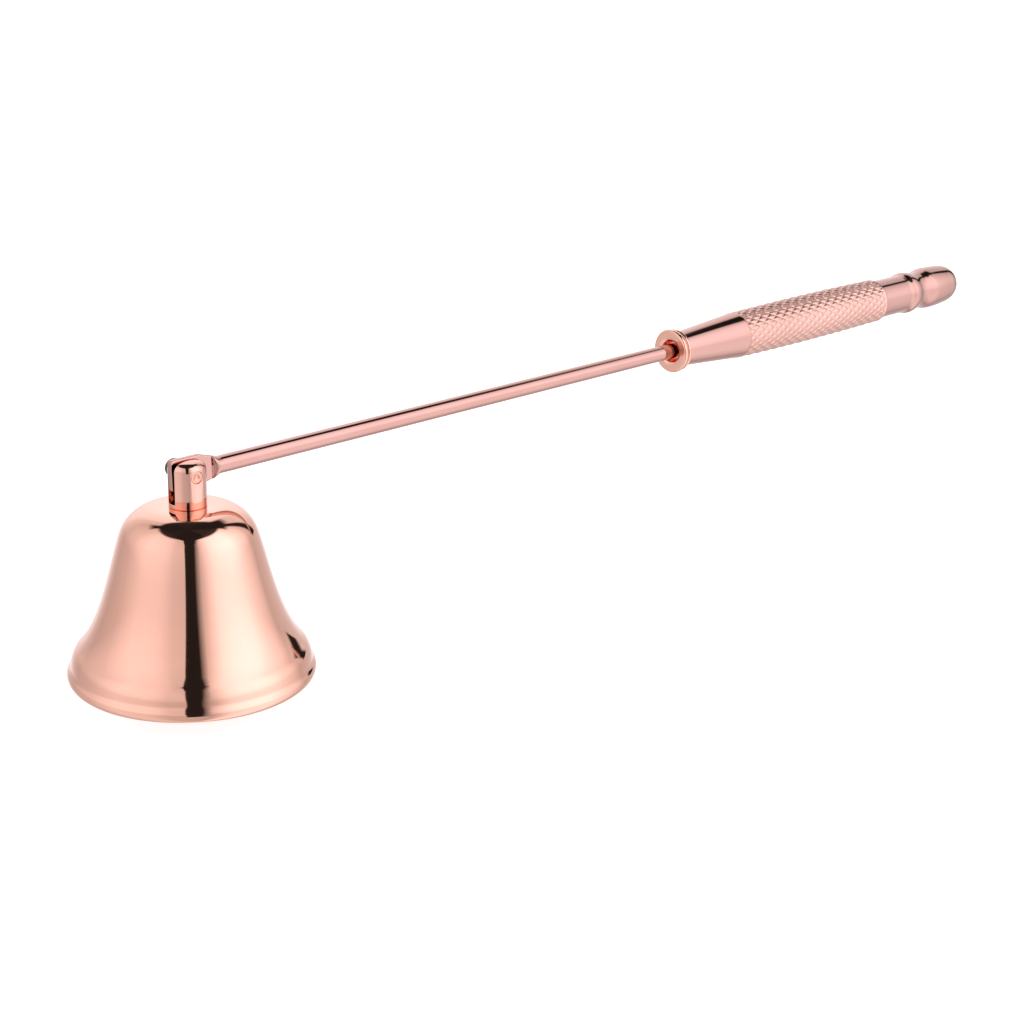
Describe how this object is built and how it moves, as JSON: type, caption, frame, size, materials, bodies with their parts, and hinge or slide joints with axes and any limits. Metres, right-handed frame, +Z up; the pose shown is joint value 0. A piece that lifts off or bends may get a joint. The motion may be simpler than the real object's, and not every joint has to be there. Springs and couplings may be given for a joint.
{
  "type": "candle snuffer",
  "caption": "Candle snuffer: a bell-shaped cup that swings on a forked post at the end of a slim rod with a turned, knurled handle.",
  "frame": {"origin": "middle of the grip, on the handle's axis, where the hand holds it", "axes": "+X from the bell to the end of the handle, +Z up along the bell's axis as it hangs, +Y along the pivot rivet towards its head; the handle itself rises 2 degrees from +X"},
  "size_m": [0.225, 0.0408, 0.0463],
  "materials": {
    "bell_plating": "mirror-polished rose-gold plating on spun steel",
    "post_plating": "polished rose-gold plating on turned steel",
    "washer_steel": "zinc-plated steel",
    "spring_steel": "zinc-plated spring steel",
    "nut_steel": "zinc-plated steel",
    "rivet_plating": "polished rose-gold plating",
    "rod_plating": "polished rose-gold plating on drawn steel rod",
    "handle_plating": "polished rose-gold plating on turned and knurled steel"
  },
  "bodies": {
    "handle_arm": {"handle": "handle_plating", "rod": "rod_plating"},
    "bell_head": {"bell": "bell_plating", "fork_post": "post_plating", "flat_washer": "washer_steel", "spring_washer": "spring_steel", "hex_nut": "nut_steel", "pivot_rivet": "rivet_plating"}
  },
  "joints": [
    {"name": "bell_swing", "type": "hinge", "parent": "handle_arm", "child": "bell_head", "pos_m": [-0.15341, -0.0003, -0.00536], "axis": [0, 1, 0], "range_deg": [-29, 205]}
  ]
}
